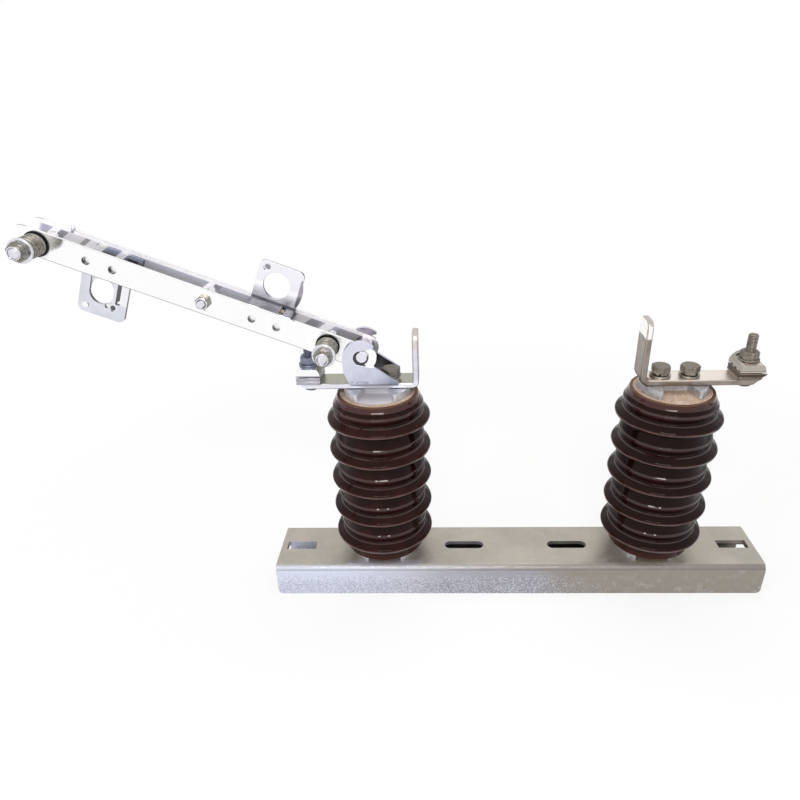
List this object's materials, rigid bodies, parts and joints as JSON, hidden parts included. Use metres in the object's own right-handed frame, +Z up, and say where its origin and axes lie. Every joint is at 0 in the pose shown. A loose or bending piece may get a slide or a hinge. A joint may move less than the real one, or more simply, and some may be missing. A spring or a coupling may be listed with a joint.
{
  "type": "substation disconnect switch",
  "caption": "Single-pole hook-stick disconnect switch: twin-bar hinged blade and jaw tab on brown porcelain post insulators over a steel channel.",
  "frame": {"origin": "middle of the base channel's upper face, midway between the two obround mounting slots", "axes": "+X along the base from the hinge insulator to the jaw insulator, +Y to the back, +Z up"},
  "size_m": [0.6177, 0.0906, 0.3418],
  "materials": {
    "galvanised_channel": "hot-dip galvanised, spangled and dulled",
    "porcelain": "glossy dark brown glaze",
    "cement": "rough sand cement",
    "insert_iron": "galvanised casting",
    "terminal_metal": "tin-plated copper, dull",
    "blade_metal": "bright plated copper",
    "bracket_steel": "zinc-plated sheet",
    "fastener_zinc": "hot-dip galvanised",
    "bright_fastener": "bright zinc",
    "spring_steel": "olive passivated",
    "ring_steel": "bright zinc-plated sheet",
    "clamp_metal": "cast, dull"
  },
  "bodies": {
    "root": {"base_channel": "galvanised_channel", "hinge_porcelain": "porcelain", "hinge_bottom_insert": "insert_iron", "hinge_bottom_cement": "cement", "hinge_top_insert": "insert_iron", "hinge_top_cement": "cement", "hinge_base_bolts": "fastener_zinc", "hinge_terminal_bar": "terminal_metal", "hinge_bar_washers": "bright_fastener", "hinge_bar_bolts": "fastener_zinc", "hinge_clamp_lower_jaw": "clamp_metal", "hinge_clamp_upper_jaw": "clamp_metal", "hinge_clamp_bolt": "fastener_zinc", "hinge_clamp_nut": "fastener_zinc", "jaw_porcelain": "porcelain", "jaw_bottom_insert": "insert_iron", "jaw_bottom_cement": "cement", "jaw_top_insert": "insert_iron", "jaw_top_cement": "cement", "jaw_base_bolts": "fastener_zinc", "jaw_terminal_bar": "terminal_metal", "jaw_bar_washers": "bright_fastener", "jaw_bar_bolts": "fastener_zinc", "jaw_clamp_lower_jaw": "clamp_metal", "jaw_clamp_upper_jaw": "clamp_metal", "jaw_clamp_bolt": "fastener_zinc", "jaw_clamp_nut": "fastener_zinc", "hinge_bracket": "bracket_steel"},
    "blade": {"front_blade_bar": "blade_metal", "back_blade_bar": "blade_metal", "pivot_pin": "bright_fastener", "heel_spring_bolt": "bright_fastener", "heel_spring": "spring_steel", "heel_spring_washers": "bright_fastener", "heel_spring_nut": "bright_fastener", "tip_spring_bolt": "bright_fastener", "tip_spring": "spring_steel", "tip_spring_washers": "bright_fastener", "tip_spring_nut": "bright_fastener", "middle_bolt": "bright_fastener", "middle_nut": "bright_fastener", "middle_spacer": "bright_fastener", "closing_ring": "ring_steel", "pull_ring": "ring_steel"}
  },
  "joints": [
    {"name": "blade_hinge", "type": "hinge", "parent": "root", "child": "blade", "pos_m": [-0.1344, 0, 0.2015], "axis": [0, 1, 0], "range_deg": [0, 158.4]}
  ]
}
